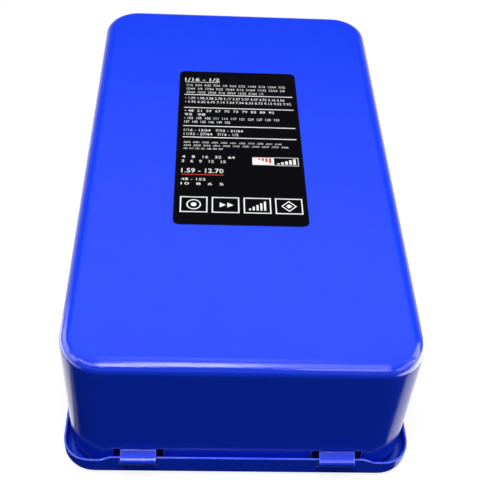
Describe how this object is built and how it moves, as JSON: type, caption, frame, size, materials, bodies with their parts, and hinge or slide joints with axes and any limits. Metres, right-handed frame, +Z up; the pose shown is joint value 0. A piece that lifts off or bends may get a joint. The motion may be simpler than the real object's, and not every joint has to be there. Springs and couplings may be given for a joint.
{
  "type": "drill bit case",
  "caption": "Pressed steel drill bit case: a deep shell hinged on a shallow lid, racks of twist drills that fan out as it opens, and a spring latch.",
  "frame": {"origin": "centre of the lid's outer face, on the table under the closed case", "axes": "+X across the case, +Y from the hinge end to the latch end, +Z up from the lid to the back panel"},
  "size_m": [0.1056, 0.1861, 0.0512],
  "materials": {
    "blue_enamel": "gloss",
    "label_film": "satin",
    "zinc_plate": "satin",
    "spring_nickel": "satin",
    "drill_steel": "satin"
  },
  "bodies": {
    "lid": {"lid_shell": "blue_enamel", "lid_bracket_left": "zinc_plate", "lid_bracket_right": "zinc_plate", "link_lid_rivets": "zinc_plate", "latch_foot": "spring_nickel", "latch_rivets": "zinc_plate"},
    "shell": {"deep_shell": "blue_enamel", "back_label": "label_film", "rack_4": "blue_enamel", "pivot_rivets": "zinc_plate", "fan_pins_4": "zinc_plate", "bit_7_16": "drill_steel", "bit_29_64": "drill_steel", "bit_15_32": "drill_steel", "bit_31_64": "drill_steel", "bit_1_2": "drill_steel"},
    "rack_3": {"rack_3": "blue_enamel", "fan_pins_3": "zinc_plate", "bit_11_32": "drill_steel", "bit_23_64": "drill_steel", "bit_3_8": "drill_steel", "bit_25_64": "drill_steel", "bit_13_32": "drill_steel", "bit_27_64": "drill_steel"},
    "rack_2": {"rack_2": "blue_enamel", "fan_pins_2": "zinc_plate", "bit_7_32": "drill_steel", "bit_15_64": "drill_steel", "bit_1_4": "drill_steel", "bit_17_64": "drill_steel", "bit_9_32": "drill_steel", "bit_19_64": "drill_steel", "bit_5_16": "drill_steel", "bit_21_64": "drill_steel"},
    "rack_1": {"rack_1": "blue_enamel", "link_rack_pins": "zinc_plate", "bit_1_16": "drill_steel", "bit_5_64": "drill_steel", "bit_3_32": "drill_steel", "bit_7_64": "drill_steel", "bit_1_8": "drill_steel", "bit_9_64": "drill_steel", "bit_5_32": "drill_steel", "bit_11_64": "drill_steel", "bit_3_16": "drill_steel", "bit_13_64": "drill_steel"},
    "link_right": {"link_right": "zinc_plate"},
    "link_left": {"link_left": "zinc_plate"},
    "latch": {"latch_tongue": "spring_nickel"}
  },
  "joints": [
    {"name": "case_hinge", "type": "hinge", "parent": "lid", "child": "shell", "pos_m": [0, -0.0905, 0.0077], "axis": [1, 0, 0], "range_deg": [0, 100]},
    {"name": "rack_3_tilt", "type": "hinge", "parent": "shell", "child": "rack_3", "pos_m": [0, -0.08, 0.01], "axis": [-1, 0, 0], "range_deg": [0, 15]},
    {"name": "rack_2_tilt", "type": "hinge", "parent": "shell", "child": "rack_2", "pos_m": [0, -0.08, 0.01], "axis": [-1, 0, 0], "range_deg": [0, 30]},
    {"name": "rack_1_tilt", "type": "hinge", "parent": "shell", "child": "rack_1", "pos_m": [0, -0.08, 0.01], "axis": [-1, 0, 0], "range_deg": [0, 45]},
    {"name": "link_right_swing", "type": "hinge", "parent": "lid", "child": "link_right", "pos_m": [0.04825, -0.066, 0.0039], "axis": [1, 0, 0], "range_deg": [0, 39.3]},
    {"name": "link_left_swing", "type": "hinge", "parent": "lid", "child": "link_left", "pos_m": [-0.04825, -0.066, 0.0039], "axis": [1, 0, 0], "range_deg": [0, 39.3]},
    {"name": "latch_flex", "type": "hinge", "parent": "lid", "child": "latch", "pos_m": [0, 0.09102, 0.0061], "axis": [-1, 0, 0], "range_deg": [0, 12], "stiffness_Nm_per_rad": 2}
  ],
  "couplings": [
    {"joint": "rack_3_tilt", "follows": "case_hinge", "ratio": 0.15},
    {"joint": "rack_2_tilt", "follows": "case_hinge", "ratio": 0.3},
    {"joint": "rack_1_tilt", "follows": "case_hinge", "ratio": 0.45},
    {"joint": "link_right_swing", "follows": "case_hinge", "ratio": 0.393},
    {"joint": "link_left_swing", "follows": "case_hinge", "ratio": 0.393}
  ]
}
